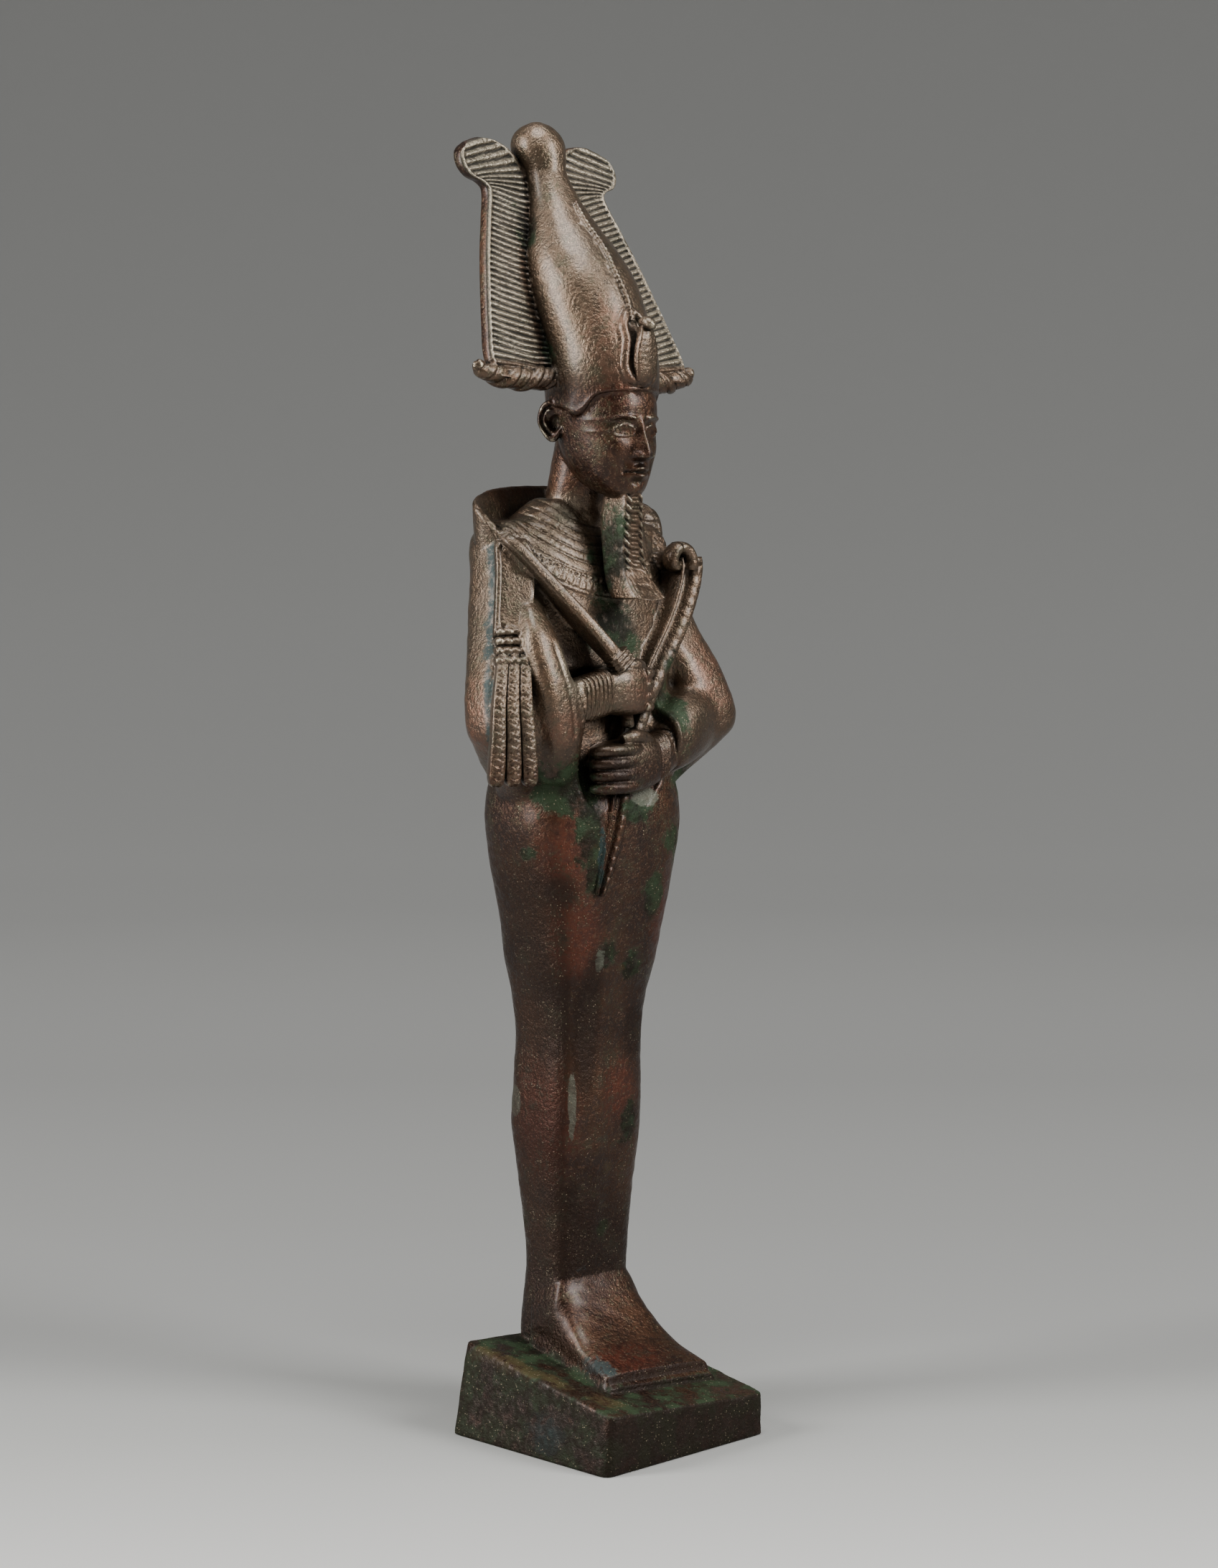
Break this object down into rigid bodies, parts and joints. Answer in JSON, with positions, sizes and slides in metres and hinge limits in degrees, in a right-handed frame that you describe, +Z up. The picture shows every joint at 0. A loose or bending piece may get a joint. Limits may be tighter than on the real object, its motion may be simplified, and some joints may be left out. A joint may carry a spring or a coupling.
{
  "type": "osiris statue",
  "caption": "Solid-cast bronze statuette of mummiform Osiris in a tall plumed crown, with crook and flail, on a wedge-shaped plinth of the same casting.",
  "frame": {"origin": "centre of the plinth's flat underside", "axes": "+Z up along the figure, -Y the way the figure faces, +X to the figure's own left"},
  "size_m": [0.0719, 0.0573, 0.2828],
  "materials": {
    "patinated_bronze": "satin, red-brown patina with dark green corrosion patches"
  },
  "bodies": {
    "root": {"osiris_statuette": "patinated_bronze"}
  },
  "joints": []
}
